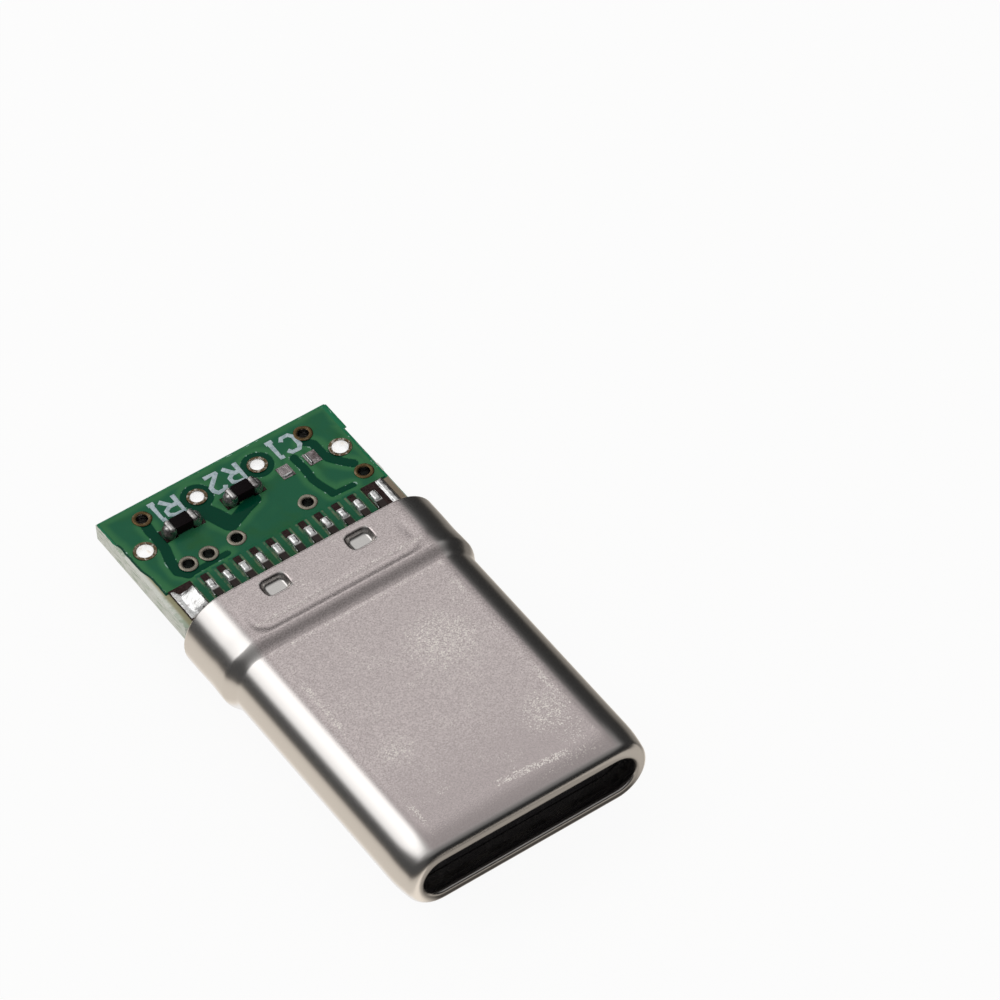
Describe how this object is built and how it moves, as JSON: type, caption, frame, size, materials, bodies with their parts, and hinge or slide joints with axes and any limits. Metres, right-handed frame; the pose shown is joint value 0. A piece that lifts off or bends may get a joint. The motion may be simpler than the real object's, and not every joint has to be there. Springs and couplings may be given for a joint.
{
  "type": "usb-c breakout board",
  "caption": "Reversible plug with a drawn, flared metal shell and a clamped circuit board that brings power and data lines out to wire holes and solder pads.",
  "frame": {"origin": "centre of the bounding box in plan, on the underside of the flared rear of the shell", "axes": "+Y from the plug's mouth to the wire end of the board, +Z out of the component side, +X to the right"},
  "size_m": [0.0086, 0.0164, 0.0028],
  "materials": {
    "shell_steel": "satin, fine blasted grain",
    "spring_steel": "bright",
    "black_moulding": "glossy moulded",
    "contact_metal": "plated",
    "solder_mask": "glossy green mask over fibreglass",
    "tinned_copper": "tinned",
    "solder": "bright solder",
    "chip_black": "black glaze on ceramic"
  },
  "bodies": {
    "root": {"plug_shell": "shell_steel", "front_housing": "black_moulding", "upper_spring": "spring_steel", "lower_spring": "spring_steel", "latch_sheet": "spring_steel", "upper_carrier": "black_moulding", "lower_carrier": "black_moulding", "rear_insert": "black_moulding", "circuit_board": "solder_mask", "upper_pads": "tinned_copper", "lower_pads": "tinned_copper", "terminal_g": "tinned_copper", "terminal_data_plus": "tinned_copper", "terminal_data_minus": "tinned_copper", "terminal_v": "tinned_copper", "vias": "tinned_copper", "resistor_1_pads": "tinned_copper", "resistor_1_body": "chip_black", "resistor_1_caps": "solder", "resistor_1_solder": "solder", "resistor_2_pads": "tinned_copper", "resistor_2_body": "chip_black", "resistor_2_caps": "solder", "resistor_2_solder": "solder", "spare_pads": "tinned_copper", "spare_solder": "solder", "upper_solder": "solder", "lower_solder": "solder", "upper_contact_1": "contact_metal", "upper_contact_2": "contact_metal", "upper_contact_3": "contact_metal", "upper_contact_4": "contact_metal", "upper_contact_5": "contact_metal", "upper_contact_6": "contact_metal", "upper_contact_7": "contact_metal", "upper_contact_8": "contact_metal", "upper_contact_9": "contact_metal", "upper_contact_10": "contact_metal", "upper_contact_11": "contact_metal", "upper_contact_12": "contact_metal", "lower_contact_1": "contact_metal", "lower_contact_2": "contact_metal", "lower_contact_3": "contact_metal", "lower_contact_4": "contact_metal", "lower_contact_5": "contact_metal", "lower_contact_6": "contact_metal", "lower_contact_7": "contact_metal", "lower_contact_8": "contact_metal", "lower_contact_9": "contact_metal", "lower_contact_10": "contact_metal", "lower_contact_11": "contact_metal", "lower_contact_12": "contact_metal"}
  },
  "joints": []
}
